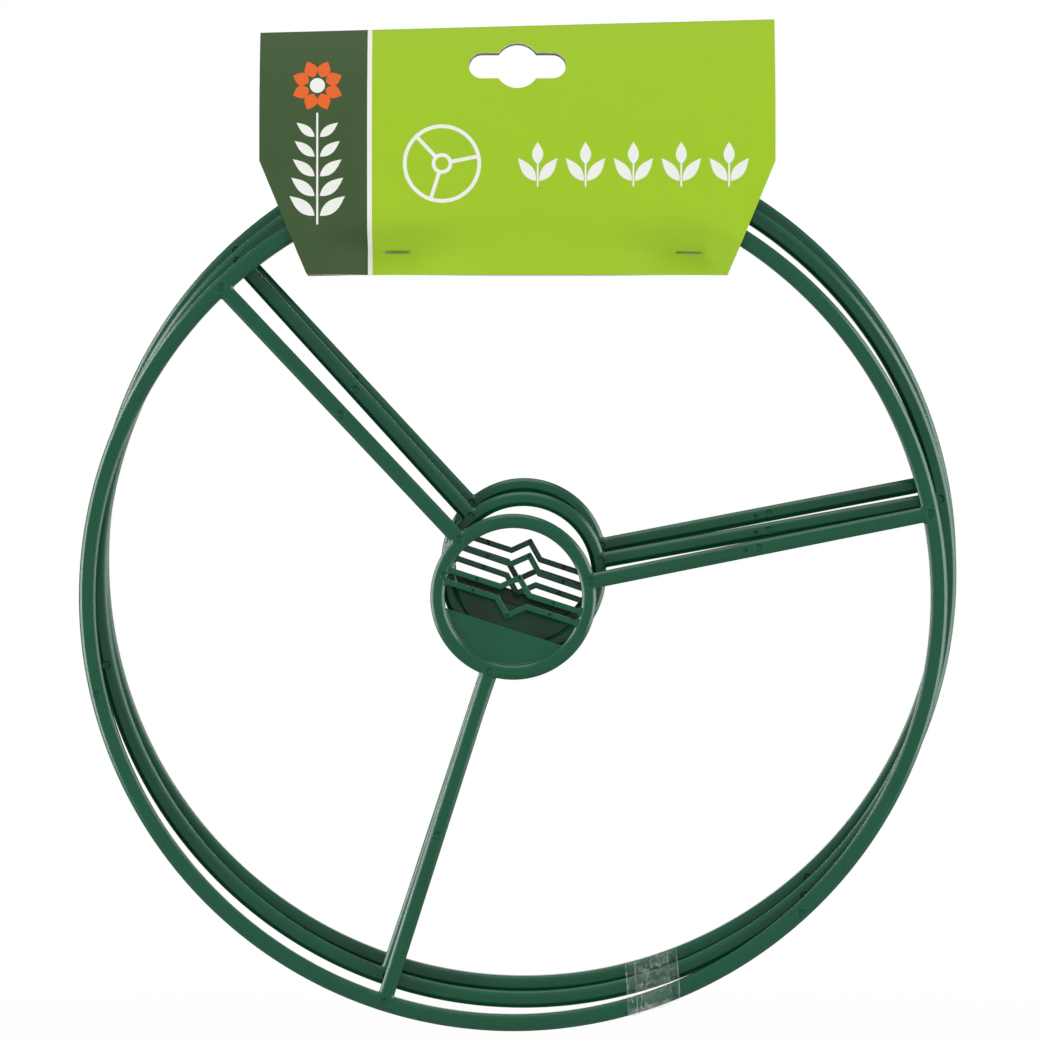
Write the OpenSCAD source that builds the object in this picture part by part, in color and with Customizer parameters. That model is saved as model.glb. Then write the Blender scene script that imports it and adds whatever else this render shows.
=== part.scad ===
// Set of three perennial support rings, hung together on a folded header card.
// The card hangs by its slot, whose centre is the origin. The rings face -Y and +Z is up.

/* [Rings] */
// Outside diameter of each ring
ring_d = 300; // [240:1:360]
// Width of the hoop, across the ring
hoop_w = 5.8; // [4:0.1:8]
// Depth of each ring, front to back
ring_depth = 5; // [4.2:0.1:8]
// Width of the spokes
spoke_w = 5.4; // [3.8:0.1:6]
// Depth of the spokes, front to back
spoke_depth = 4.6; // [3.8:0.1:8]
// Outside diameter of the hub
hub_d = 57.4; // [50:0.1:75]
// Width of the hub's wall
hub_w = 5; // [3.8:0.1:6]
// Radius on the edges of hoop, spokes and hub
edge_r = 1.4; // [0.4:0.1:1.8]
// Angle from the lower spoke to each of the other two
spoke_spread = 119; // [110:0.5:125]

/* [Stake clip] */
// Thickness of the two spring bars
bar_t = 2; // [1.4:0.1:2.4]
// Depth of the spring bars, front to back
bar_depth = 4.2; // [3:0.1:5]
// Distance between the middles of the two bars
bar_pitch = 4.1; // [3.4:0.1:5]
// Width of the V notch in each bar
notch_w = 10.5; // [8:0.1:14]
// Depth of the V notch in each bar
notch_depth = 4.8; // [3:0.1:5]
// Outward travel of the upper bar
upper_travel = 3.1; // [1:0.1:4]
// Room left between the lower bar and the web plate at the end of its travel
lower_stop_gap = 0.4; // [0.3:0.1:1]
// Distance of the web plate's straight edge from the hub's centre
plate_edge = 10.8; // [10.5:0.1:14]
// Thickness of the web plate
plate_t = 1.6; // [1:0.1:3]

/* [Stack] */
// Gap between neighbouring rings
ring_gap = 0.3; // [0.2:0.1:1]
// Middle ring's place to the right of the hang slot
stack_x = 2; // [-10:0.1:10]
// Drop from the hang slot to the top of the middle ring
hoop_drop = 25.8; // [25:0.1:32]
// Front ring's shift from the middle ring, right and up
front_shift = [-3.4, -7.6]; // [-8:0.1:8]
// Back ring's shift from the middle ring, right and up
back_shift = [0.3, 4.8]; // [-8:0.1:8]
// Middle ring's turn, anticlockwise from its lower spoke pointing straight down
stack_turn = -18.75; // [-30:0.05:0]
// Front ring's turn from the middle ring
front_turn = 1.05; // [-3:0.05:3]
// Back ring's turn from the middle ring
back_turn = 0.6; // [-3:0.05:3]

/* [Header card] */
// Length of the fold
card_w = 178; // [160:1:220]
// Length of the lower edge
card_foot_w = 145.6; // [140:0.1:158]
// Thickness of the paperboard
card_t = 0.5; // [0.3:0.1:0.8]
// Height of the fold above the hang slot
fold_h = 14; // [12:0.1:25]
// Slant of the fold, rising to the right, in degrees
fold_slant = 1.5; // [-2:0.1:2]
// Drop from the hang slot to the start of the tapered sides
shoulder_drop = 33; // [20:0.1:45]
// Run over which the two panels close below the hoops
pinch_run = 7; // [5:0.1:7]
// Room between the hoops and each panel
card_gap = 0.4; // [0.3:0.1:1]
// Least room between the card's sides and the spokes beside it
spoke_room = 2; // [1:0.1:6]
// Length of the hang slot
slot_w = 33.6; // [28:0.1:40]
// Height of the hang slot's wings
slot_h = 9; // [6:0.1:10]
// Diameter of the hang slot's round middle
slot_hole_d = 15.8; // [12:0.1:18]

/* [Staples] */
// Length of a staple's crown
staple_w = 8.4; // [6:0.1:12]
// Diameter of the staple wire
wire_d = 0.6; // [0.4:0.1:0.8]
// Length of each leg's clinched end
clinch_l = 2.8; // [1.5:0.1:2.8]
// Left and right staple's place beside the hang slot
staple_x = [-41.5, 59.2]; // [-60:0.1:60]
// Drop of the staples below the line where the two panels meet
staple_clear = 1.4; // [1:0.1:4]
// Height of the staples above the card's lower edge
staple_rise = 7.7; // [5:0.1:12]

/* [Tape] */
// Width of the tape, along the hoops
tape_w = 18; // [10:0.1:25]
// Thickness of the tape's wrap
tape_t = 0.3; // [0.2:0.1:1]
// Direction of the tape from the middle ring's centre, in degrees
tape_turn = -72.7; // [-85:0.1:-55]

/* [Hidden] */
$fn = 96;
ring_color = "#1f6b4a";
card_color = "#9fc53a";
wire_color = "#b9bcc0";
tape_color = "#dfe8e6";

// Seam between moulded members of one ring, and play of a wire or film on what it holds
seam = 0.02;
play = 0.1;
// Running room of a spring bar in the hub's bore
bar_gap = 0.3;
// How far a cutting shape runs past what it cuts
past = 1;

ring_r = ring_d / 2;
hoop_in_r = ring_r - hoop_w;
hub_r = hub_d / 2;
bore_r = hub_r - hub_w;
// In a ring's own frame the lower spoke points straight down and the clip lies level
spoke_angles = [spoke_spread - 90, 270 - spoke_spread, 270];

bar_v = bar_pitch / 2;
flank = atan(notch_depth / (notch_w / 2));
miter = bar_t / 2 * tan(flank / 2);
tip = bar_t / 2 / cos(flank);
lower_travel = plate_edge - lower_stop_gap - (bar_v + notch_depth + tip);

ring_names = ["front", "middle", "back"];
shifts = [front_shift, [0, 0], back_shift];
turns = [stack_turn + front_turn, stack_turn, stack_turn + back_turn];
layers = [1, 0, -1];
pitch = ring_depth + ring_gap;
stack_z = -hoop_drop - ring_r;

// How far any hoop strays from the middle one as the stack turns in the card
stray = max([for (s = shifts) norm(s)]);
pocket = pitch + ring_depth / 2 + card_gap;
open_r = hoop_in_r - stray - card_gap;
pinch_r = open_r - pinch_run;
fold_to_hoop = fold_h + hoop_drop - stray;
flare = pocket / (fold_to_hoop - card_t);

// The staples sit just inside the circle where the panels meet
staple_reach = max([for (x = staple_x) abs(x - stack_x)]) + staple_w / 2;
staple_drop = staple_clear - stack_z - sqrt(pow(pinch_r, 2) - pow(staple_reach, 2));
card_drop = staple_drop + staple_rise;

tape_arc = tape_w / ring_r * 180 / PI;
tape_dir = [cos(tape_turn), sin(tape_turn)];
tape_along = [-sin(tape_turn), cos(tape_turn)];
// How far the hoops lean off the tape's arc at its ends
tape_lean = max([for (s = shifts) abs(s * tape_along)]) * tape_w / 2 / ring_r;

RING_PARTS = [
    "hoop", "hub", "web_plate", "upper_clip_bar", "lower_clip_bar",
    "right_spoke", "left_spoke", "lower_spoke"
];

// Rectangle with round corners, centred
module rounded(w, h, r) {
    square([w - 2 * r, h], center = true);
    square([w, h - 2 * r], center = true);
    for (x = [-1, 1])
        for (y = [-1, 1])
            translate([x * (w / 2 - r), y * (h / 2 - r)])
                circle(r);
}

// Frame of a ring: its plane is XY, its front faces +Z
module facing(place, layer) {
    translate([place[0], -layer * pitch, place[1]])
        rotate([90, 0, 0])
            children();
}

module ring_place(i) {
    facing([stack_x, stack_z] + shifts[i], layers[i])
        rotate(turns[i])
            children();
}

module hoop() {
    color(ring_color)
        rotate_extrude()
            translate([ring_r - hoop_w / 2, 0])
                rounded(hoop_w, ring_depth, edge_r);
}

module hub() {
    color(ring_color)
        rotate_extrude()
            translate([hub_r - hub_w / 2, 0])
                rounded(hub_w, ring_depth, edge_r);
}

// Straight spoke, cut round to sit between the hub and the hoop
module spoke(angle) {
    color(ring_color)
        rotate(angle)
            difference() {
                intersection() {
                    rotate([90, 0, 90])
                        linear_extrude(ring_r)
                            rounded(spoke_w, spoke_depth, edge_r);
                    cylinder(h = ring_depth, r = hoop_in_r - seam, center = true);
                }
                cylinder(h = ring_depth + past, r = hub_r + seam, center = true);
            }
}

// Thin D-shaped web that closes the hub's bore beside the lower spoke
module web_plate() {
    color(ring_color)
        intersection() {
            cylinder(h = plate_t, r = bore_r - seam, center = true);
            translate([0, -plate_edge - bore_r, 0])
                cube(2 * bore_r, center = true);
        }
}

// Zigzag spring bar above the stake's axis, with its V notch pointing outwards
module bar_outline() {
    reach = bore_r;
    shoulder = notch_w / 2;
    low = bar_v - bar_t / 2;
    high = bar_v + bar_t / 2;
    apex = bar_v + notch_depth;
    polygon([
        [-reach, low], [-shoulder + miter, low], [0, apex - tip],
        [shoulder - miter, low], [reach, low],
        [reach, high], [shoulder + miter, high], [0, apex + tip],
        [-shoulder - miter, high], [-reach, high]
    ]);
}

// The bar's ends are round, and clear the bore at both ends of its travel
module clip_bar(travel) {
    color(ring_color)
        linear_extrude(bar_depth, center = true)
            intersection() {
                bar_outline();
                translate([0, -travel])
                    circle(bore_r - bar_gap);
            }
}

module upper_clip_bar() {
    clip_bar(upper_travel);
}

module lower_clip_bar() {
    rotate(180)
        clip_bar(lower_travel);
}

// Wedge that opens downwards from the fold
module fold_wedge(top_w, drop) {
    depth = fold_h + card_drop + past;
    translate([0, fold_h])
        rotate([0, 0, fold_slant])
            rotate([90, 0, 90])
                linear_extrude(card_w * 2, center = true)
                    polygon([
                        [-drop, top_w], [-drop, -top_w],
                        [-depth, -top_w - (depth - drop) * flare],
                        [-depth, top_w + (depth - drop) * flare]
                    ]);
}

// Disc that is thin inside the hoops and deep enough to hold them further out
module hoop_pocket(wall) {
    far = ring_r + 2 * stray + hoop_drop + fold_h + card_w / 2;
    translate([stack_x, stack_z])
        rotate_extrude()
            polygon([
                [0, wall], [pinch_r, wall], [open_r, pocket + wall], [far, pocket + wall],
                [far, -pocket - wall], [open_r, -pocket - wall], [pinch_r, -wall], [0, -wall]
            ]);
}

// Far sides of the two spokes that the card hangs between
module beyond_spokes() {
    for (i = [0 : len(shifts) - 1])
        translate([stack_x, stack_z] + shifts[i])
            for (k = [0, 1])
                rotate(turns[i] + spoke_angles[k])
                    translate([ring_r, (2 * k - 1) * (ring_r - spoke_w / 2 - spoke_room)])
                        square(2 * ring_r, center = true);
}

// Tapered card, cut back where it would reach a spoke
module card_outline() {
    rise = card_w / 2 * tan(fold_slant);
    difference() {
        polygon([
            [-card_w / 2, fold_h - rise], [card_w / 2, fold_h + rise],
            [card_w / 2, -shoulder_drop], [card_foot_w / 2, -card_drop],
            [-card_foot_w / 2, -card_drop], [-card_w / 2, -shoulder_drop]
        ]);
        beyond_spokes();
    }
}

module slot_outline() {
    square([slot_w - slot_h, slot_h], center = true);
    for (side = [-1, 1])
        translate([side * (slot_w - slot_h) / 2, 0])
            circle(d = slot_h);
    circle(d = slot_hole_d);
}

module staple_places() {
    for (x = staple_x)
        translate([x, -staple_drop])
            children();
}

module staple_legs(d, l) {
    for (side = [-1, 1])
        translate([side * (staple_w - wire_d) / 2, 0])
            cylinder(h = l, d = d, center = true);
}

// Folded sheet: one panel before the hoops, one behind, closed below them
module header_card() {
    through = 4 * pocket;
    color(card_color)
        facing([0, 0], 0)
            difference() {
                intersection() {
                    linear_extrude(through, center = true)
                        card_outline();
                    fold_wedge(card_t, 0);
                    hoop_pocket(card_t);
                }
                intersection() {
                    fold_wedge(play / 2, card_t);
                    hoop_pocket(0);
                }
                linear_extrude(through, center = true)
                    slot_outline();
                staple_places()
                    staple_legs(wire_d + 2 * play, through);
            }
}

// Wire staples: crown in front, legs through both panels, ends clinched behind
module staples() {
    face = card_t + seam + wire_d / 2;
    corner = (staple_w - wire_d) / 2;
    color(wire_color)
        facing([0, 0], 0)
            staple_places() {
                translate([0, 0, face])
                    rotate([0, 90, 0])
                        cylinder(h = 2 * corner, d = wire_d, center = true);
                staple_legs(wire_d, 2 * face);
                for (side = [-1, 1]) {
                    for (end = [-1, 1])
                        translate([side * corner, 0, end * face])
                            sphere(d = wire_d);
                    translate([side * (corner - clinch_l / 2), 0, -face])
                        rotate([0, 90, 0])
                            cylinder(h = clinch_l, d = wire_d, center = true);
                }
            }
}

// Outline round the three stepped hoops, as the tape is drawn over them
module tape_outline(grow) {
    front = ring_r - hoop_w / 2 + shifts[0] * tape_dir;
    back = ring_r - hoop_w / 2 + shifts[2] * tape_dir;
    w = hoop_w / 2 + grow;
    h = ring_depth / 2 + grow;
    polygon([
        [front - w, pitch + h], [front + w, pitch + h], [front + w, pitch - h],
        [back + w, -pitch - h], [back - w, -pitch - h], [back - w, -pitch + h]
    ]);
}

module tape() {
    color(tape_color)
        facing([stack_x, stack_z], 0)
            rotate(tape_turn - tape_arc / 2)
                rotate_extrude(angle = tape_arc)
                    difference() {
                        tape_outline(play + tape_lean + tape_t);
                        tape_outline(play + tape_lean);
                    }
}

for (i = [0 : len(ring_names) - 1]) {
    ring = ring_names[i];
    ring_place(i) hoop();
    ring_place(i) hub();
    ring_place(i) web_plate();
    ring_place(i) upper_clip_bar();
    ring_place(i) lower_clip_bar();
    ring_place(i) spoke(spoke_angles[0]);
    ring_place(i) spoke(spoke_angles[1]);
    ring_place(i) spoke(spoke_angles[2]);
}
header_card();
staples();
tape();
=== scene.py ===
from math import acos, asin, atan2, cos, exp, hypot, pi, radians, sin, sqrt, tan

import bmesh
import bpy
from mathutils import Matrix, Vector, noise
from mathutils.geometry import delaunay_2d_cdt


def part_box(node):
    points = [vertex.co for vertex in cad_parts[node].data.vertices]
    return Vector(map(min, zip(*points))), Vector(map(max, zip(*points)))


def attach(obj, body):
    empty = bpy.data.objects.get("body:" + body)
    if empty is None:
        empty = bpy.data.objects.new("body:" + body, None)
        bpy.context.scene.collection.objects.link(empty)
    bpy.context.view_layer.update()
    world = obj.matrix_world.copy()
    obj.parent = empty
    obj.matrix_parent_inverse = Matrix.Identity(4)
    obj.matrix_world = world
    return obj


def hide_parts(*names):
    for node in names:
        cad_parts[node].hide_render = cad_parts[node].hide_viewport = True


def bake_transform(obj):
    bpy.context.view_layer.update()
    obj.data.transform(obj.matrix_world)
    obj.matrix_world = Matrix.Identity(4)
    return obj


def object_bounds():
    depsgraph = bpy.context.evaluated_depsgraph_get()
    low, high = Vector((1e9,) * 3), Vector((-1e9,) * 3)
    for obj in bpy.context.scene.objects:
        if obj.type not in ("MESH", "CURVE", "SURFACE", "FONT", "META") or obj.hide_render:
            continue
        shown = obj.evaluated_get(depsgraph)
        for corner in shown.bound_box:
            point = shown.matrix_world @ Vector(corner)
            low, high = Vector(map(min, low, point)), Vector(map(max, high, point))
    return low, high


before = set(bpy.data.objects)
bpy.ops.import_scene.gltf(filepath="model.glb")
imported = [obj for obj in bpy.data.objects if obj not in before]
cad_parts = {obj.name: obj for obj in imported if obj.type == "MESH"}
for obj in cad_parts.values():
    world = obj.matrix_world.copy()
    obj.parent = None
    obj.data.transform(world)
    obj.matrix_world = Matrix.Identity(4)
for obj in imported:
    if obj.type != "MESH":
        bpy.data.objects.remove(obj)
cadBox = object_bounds()
mm = 0.001
scene = bpy.context.scene
print("frame loaded:", len(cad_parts), "nodes")


# camera, straight on as the photograph

view = {
    "aim": (0.9, 0.0, -156.9),  # middle of the picture, mm from the hang slot
    "distance": 1800.0,  # a long lens from far off keeps the hoops round
    "width": 360.3,  # mm of the object across the picture
    "sensor": 36.0,
}

cameraData = bpy.data.cameras.new("camera")
cameraData.sensor_width = view["sensor"]
cameraData.lens = view["sensor"] * view["distance"] / view["width"]
camera = bpy.data.objects.new("camera", cameraData)
camera.location = (Vector(view["aim"]) - Vector((0, view["distance"], 0))) * mm
camera.rotation_euler = (pi / 2, 0, 0)
scene.collection.objects.link(camera)
scene.camera = camera
scene.view_settings.view_transform = "Standard"
print("camera set")


# nodes and materials

def toLinear(hexColour):
    parts = [int(hexColour[i:i + 2], 16) / 255 for i in (1, 3, 5)]
    return [c / 12.92 if c <= 0.04045 else ((c + 0.055) / 1.055) ** 2.4 for c in parts] + [1]


def addNode(tree, kind, inputs={}, **settings):
    node = tree.nodes.new(kind)
    for name, value in settings.items():
        setattr(node, name, value)
    for socket, value in inputs.items():
        if isinstance(value, bpy.types.NodeSocket):
            tree.links.new(value, node.inputs[socket])
        else:
            node.inputs[socket].default_value = value
    return node


def startMaterial(name):
    # a new material, its node tree, and the place on the object that patterns go by
    material = bpy.data.materials.new(name)
    material.use_nodes = True
    tree = material.node_tree
    tree.nodes.clear()
    return material, tree, addNode(tree, "ShaderNodeTexCoord").outputs["Object"]


def perMetre(sizeInMm):
    # scale of a pattern with features of this size
    return 1 / (sizeInMm * mm)


colourA, colourB, colourMix = 6, 7, 2  # a mix node's sockets for colours: two inputs and the output


# polypropylene, injection moulded: semi-gloss, dark green, with faint flow clouds and a fine skin
plastic = {
    "green": "#045036",
    "cloud": "#02442c",
    "cloudSize": 28.0,
    "skinSize": 0.5,  # coarser than the real skin, which is too fine to show
    "skinDepth": 0.0005,  # only softens the highlights
    "skinStrength": 0.5,
    "roughness": (0.2, 0.27),
    "roughPatch": 9.0,
    "patchRange": (0.3, 0.7),
    "ior": 1.49,
    "specular": 0.32,
}


def makePlastic():
    material, tree, place = startMaterial("moulded_polypropylene")
    clouds = addNode(tree, "ShaderNodeTexNoise",
                     {"Vector": place, "Scale": perMetre(plastic["cloudSize"]), "Detail": 3})
    colour = addNode(tree, "ShaderNodeMix",
                     {"Factor": clouds.outputs["Fac"], colourA: toLinear(plastic["cloud"]),
                      colourB: toLinear(plastic["green"])}, data_type="RGBA")
    patches = addNode(tree, "ShaderNodeTexNoise",
                      {"Vector": place, "Scale": perMetre(plastic["roughPatch"]), "Detail": 4})
    (least, most), (low, high) = plastic["patchRange"], plastic["roughness"]
    rough = addNode(tree, "ShaderNodeMapRange",
                    {"Value": patches.outputs["Fac"], "From Min": least, "From Max": most,
                     "To Min": low, "To Max": high})
    skin = addNode(tree, "ShaderNodeTexNoise",
                   {"Vector": place, "Scale": perMetre(plastic["skinSize"]), "Detail": 2})
    bump = addNode(tree, "ShaderNodeBump",
                   {"Height": skin.outputs["Fac"], "Strength": plastic["skinStrength"],
                    "Distance": plastic["skinDepth"] * mm})
    shader = addNode(tree, "ShaderNodeBsdfPrincipled",
                     {"Base Color": colour.outputs[colourMix], "Roughness": rough.outputs["Result"],
                      "IOR": plastic["ior"], "Specular IOR Level": plastic["specular"],
                      "Normal": bump.outputs["Normal"]})
    addNode(tree, "ShaderNodeOutputMaterial", {"Surface": shader.outputs["BSDF"]})
    return material


# paperboard, clay coated and offset printed: even satin inks, with a soft fibre unevenness below
paper = {
    "inks": {"lime_ink": "#a1c829", "leaf_green_ink": "#3b512f", "white_ink": "#f2f3ec",
             "orange_ink": "#e8682c"},
    "board": "#e3e0d6",
    "fibreSize": 1.1,
    "fibreDepth": 0.012,
    "fibreStrength": 0.4,
    "mottleSize": 14.0,
    "mottle": 0.05,
    "roughness": 0.55,
    "rawRoughness": 0.85,
    "ior": 1.5,
    "specular": 0.25,
}


def makePaper(name, hexColour, roughness):
    material, tree, place = startMaterial("paperboard_" + name)
    ink = toLinear(hexColour)
    worn = [c * (1 - paper["mottle"]) for c in ink[:3]] + [1]
    mottle = addNode(tree, "ShaderNodeTexNoise",
                     {"Vector": place, "Scale": perMetre(paper["mottleSize"]), "Detail": 6})
    colour = addNode(tree, "ShaderNodeMix",
                     {"Factor": mottle.outputs["Fac"], colourA: worn, colourB: ink}, data_type="RGBA")
    fibre = addNode(tree, "ShaderNodeTexNoise",
                    {"Vector": place, "Scale": perMetre(paper["fibreSize"]), "Detail": 4})
    bump = addNode(tree, "ShaderNodeBump",
                   {"Height": fibre.outputs["Fac"], "Strength": paper["fibreStrength"],
                    "Distance": paper["fibreDepth"] * mm})
    shader = addNode(tree, "ShaderNodeBsdfPrincipled",
                     {"Base Color": colour.outputs[colourMix], "Roughness": roughness, "IOR": paper["ior"],
                      "Specular IOR Level": paper["specular"], "Normal": bump.outputs["Normal"]})
    addNode(tree, "ShaderNodeOutputMaterial", {"Surface": shader.outputs["BSDF"]})
    return material


# steel wire, galvanised and drawn: grey, half bright, with dull zinc patches
wire = {
    "zinc": "#8d8a84",
    "dull": "#6b6862",
    "patchSize": 1.6,
    "roughness": (0.5, 0.28),  # from dull to bright
}


def makeWire():
    material, tree, place = startMaterial("galvanised_steel_wire")
    patches = addNode(tree, "ShaderNodeTexNoise",
                      {"Vector": place, "Scale": perMetre(wire["patchSize"]), "Detail": 4})
    colour = addNode(tree, "ShaderNodeMix",
                     {"Factor": patches.outputs["Fac"], colourA: toLinear(wire["dull"]),
                      colourB: toLinear(wire["zinc"])}, data_type="RGBA")
    dull, bright = wire["roughness"]
    rough = addNode(tree, "ShaderNodeMapRange",
                    {"Value": patches.outputs["Fac"], "To Min": dull, "To Max": bright})
    shader = addNode(tree, "ShaderNodeBsdfPrincipled",
                     {"Base Color": colour.outputs[colourMix], "Metallic": 1.0,
                      "Roughness": rough.outputs["Result"]})
    addNode(tree, "ShaderNodeOutputMaterial", {"Surface": shader.outputs["BSDF"]})
    return material


# polypropylene film tape: clear and glossy, faintly milky from its glue; its crease lines, hems and crumpled
# end get more milky film, a painted glint
film = {
    "milk": "#dfe8e2",
    "hazeSize": 4.0,
    "hazeRange": (0.35, 0.7),
    "clear": (0.008, 0.03),  # how much of the plain film shows
    "creased_painted_glint": (0.07, 0.3),  # how much of its hems and its crumpled end shows: more milky film, painted as the glints of the crumpled film
    "creaseGlint": 0.14,  # how much of a crease line shows: more milky film, a painted glint along it
    "creaseSize": 3.0,
    "creaseStretch": (1, 1, 0.15),  # creases run upright
    "creaseLine": 0.02,
    "crinkleSize": 2.2,
    "crinkleDepth": 0.08,
    "crinkleStrength": 0.6,
    "roughness": 0.16,
    "ior": 1.5,
}


def makeFilm(kind):
    material, tree, place = startMaterial(kind + "_polypropylene_film")
    haze = addNode(tree, "ShaderNodeTexNoise",
                   {"Vector": place, "Scale": perMetre(film["hazeSize"]), "Detail": 5})
    (least, most), (low, high) = film["hazeRange"], film[kind]
    milky = addNode(tree, "ShaderNodeMapRange",
                    {"Value": haze.outputs["Fac"], "From Min": least, "From Max": most,
                     "To Min": low, "To Max": high})
    upright = addNode(tree, "ShaderNodeVectorMath", {0: place, 1: film["creaseStretch"]},
                      operation="MULTIPLY")
    folds = addNode(tree, "ShaderNodeTexNoise",
                    {"Vector": upright.outputs["Vector"], "Scale": perMetre(film["creaseSize"]),
                     "Detail": 2})
    off = addNode(tree, "ShaderNodeMath", {0: folds.outputs["Fac"], 1: 0.5},
                  operation="SUBTRACT")  # a crease lies where the noise is half way
    near = addNode(tree, "ShaderNodeMath", {0: off.outputs[0]}, operation="ABSOLUTE")
    # crease lines get more milky film: a painted glint
    creaseGlint = addNode(tree, "ShaderNodeMapRange",
                     {"Value": near.outputs[0], "From Min": 0, "From Max": film["creaseLine"],
                      "To Min": film["creaseGlint"], "To Max": 0})
    alpha = addNode(tree, "ShaderNodeMath", {0: milky.outputs["Result"], 1: creaseGlint.outputs["Result"]},
                    operation="MAXIMUM")
    crinkle = addNode(tree, "ShaderNodeTexNoise",
                      {"Vector": place, "Scale": perMetre(film["crinkleSize"]), "Detail": 3})
    bump = addNode(tree, "ShaderNodeBump",
                   {"Height": crinkle.outputs["Fac"], "Strength": film["crinkleStrength"],
                    "Distance": film["crinkleDepth"] * mm})
    shader = addNode(tree, "ShaderNodeBsdfPrincipled",
                     {"Base Color": toLinear(film["milk"]), "Roughness": film["roughness"],
                      "IOR": film["ior"], "Alpha": alpha.outputs[0],
                      "Normal": bump.outputs["Normal"]})
    addNode(tree, "ShaderNodeOutputMaterial", {"Surface": shader.outputs["BSDF"]})
    return material


plasticGreen = makePlastic()
inks = {name: makePaper(name, colour, paper["roughness"]) for name, colour in paper["inks"].items()}
rawBoard = makePaper("raw_board", paper["board"], paper["rawRoughness"])
zincWire = makeWire()
# the second film is whiter, and paints the glints of the hems and the crumpled end
tapeFilms = [makeFilm("clear"), makeFilm("creased_painted_glint")]
print("materials made")


# studio: white round about, a pale floor under the hanging set, tall strip lights far out on both sides,
# one above, and two soft ones behind

studio = {
    "ambient": 0.1,
    "floorDrop": 30.0,  # below the lowest hoop
    "floorRadius": 700.0,
    "floorSteps": 96,
    "floorFade": (180.0, 640.0),
    "floorColour": "#f2f2f0",
    "floorWhite": 0.86,  # share of plain white that the camera sees, the rest keeps the shadow
    "lamps": {  # place, width, height in mm, watts
        "left_strip": ((-980, -357, -60), 180, 1240, 13.2),
        "right_strip": ((980, -357, -60), 400, 1240, 13.2),
        "top_strip": ((0, -357, 830), 700, 400, 2.8),
        "left_rear": ((-420, 1100, 300), 500, 700, 4.7),
        "right_rear": ((420, 1100, 300), 500, 700, 4.7),
    },
}


def makeWorld():
    world = bpy.data.worlds.new("white_studio")
    world.use_nodes = True
    tree = world.node_tree
    tree.nodes.clear()
    rays = addNode(tree, "ShaderNodeLightPath")
    seen = rays.outputs["Is Camera Ray"]
    for name in ("Is Glossy Ray", "Is Transmission Ray"):
        seen = addNode(tree, "ShaderNodeMath", {0: seen, 1: rays.outputs[name]},
                       operation="MAXIMUM").outputs[0]
    light = addNode(tree, "ShaderNodeBackground", {"Color": (1, 1, 1, 1), "Strength": studio["ambient"]})
    white = addNode(tree, "ShaderNodeBackground", {"Color": (1, 1, 1, 1), "Strength": 1.0})
    both = addNode(tree, "ShaderNodeMixShader",
                   {0: seen, 1: light.outputs["Background"], 2: white.outputs["Background"]})
    addNode(tree, "ShaderNodeOutputWorld", {"Surface": both.outputs["Shader"]})
    scene.world = world


def makeFloor():
    lowest = cadBox[0][2] - studio["floorDrop"] * mm
    mesh = bpy.data.meshes.new("floor")
    shape = bmesh.new()
    bmesh.ops.create_circle(shape, cap_ends=True, segments=studio["floorSteps"],
                            radius=studio["floorRadius"] * mm)
    shape.to_mesh(mesh)
    shape.free()
    floor = bpy.data.objects.new("floor", mesh)
    floor.location = (0, 0, lowest)
    scene.collection.objects.link(floor)
    material, tree, place = startMaterial("pale_floor")
    away = addNode(tree, "ShaderNodeVectorMath", {0: place}, operation="LENGTH")
    near, far = studio["floorFade"]
    fade = addNode(tree, "ShaderNodeMapRange",
                   {"Value": away.outputs["Value"], "From Min": near * mm, "From Max": far * mm},
                   interpolation_type="SMOOTHSTEP")
    matt = addNode(tree, "ShaderNodeBsdfDiffuse", {"Color": toLinear(studio["floorColour"])})
    clear = addNode(tree, "ShaderNodeBsdfTransparent")
    rays = addNode(tree, "ShaderNodeLightPath")
    share = addNode(tree, "ShaderNodeMath", {0: rays.outputs["Is Camera Ray"], 1: studio["floorWhite"]},
                    operation="MULTIPLY")
    white = addNode(tree, "ShaderNodeEmission", {"Color": (1, 1, 1, 1), "Strength": 1.0})
    pale = addNode(tree, "ShaderNodeMixShader",
                   {0: share.outputs[0], 1: matt.outputs["BSDF"], 2: white.outputs["Emission"]})
    both = addNode(tree, "ShaderNodeMixShader",
                   {0: fade.outputs["Result"], 1: pale.outputs["Shader"], 2: clear.outputs["BSDF"]})
    addNode(tree, "ShaderNodeOutputMaterial", {"Surface": both.outputs["Shader"]})
    mesh.materials.append(material)


def makeLamp(name, place, width, height, watts):
    data = bpy.data.lights.new(name, "AREA")
    data.shape = "RECTANGLE"
    data.size = width * mm
    data.size_y = height * mm
    data.energy = watts
    lamp = bpy.data.objects.new(name, data)
    lamp.location = Vector(place) * mm
    aim = Vector(view["aim"]) * mm - lamp.location
    lamp.rotation_euler = aim.to_track_quat("-Z", "Y").to_euler()
    lamp.visible_camera = False
    scene.collection.objects.link(lamp)


makeWorld()
makeFloor()
for name, settings in studio["lamps"].items():
    makeLamp(name, *settings)
print("studio lit")


# shared mesh helpers

def makePiece(name, shape, materials, body, nodes, smoothAngle=35):
    bmesh.ops.recalc_face_normals(shape, faces=shape.faces)
    mesh = bpy.data.meshes.new(name)
    shape.to_mesh(mesh)
    shape.free()
    for material in materials:
        mesh.materials.append(material)
    mesh.polygons.foreach_set("use_smooth", [True] * len(mesh.polygons))
    mesh.set_sharp_from_angle(angle=radians(smoothAngle))
    piece = bpy.data.objects.new(name, mesh)
    scene.collection.objects.link(piece)
    if body:
        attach(piece, body)
    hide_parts(*nodes)
    return piece


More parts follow.
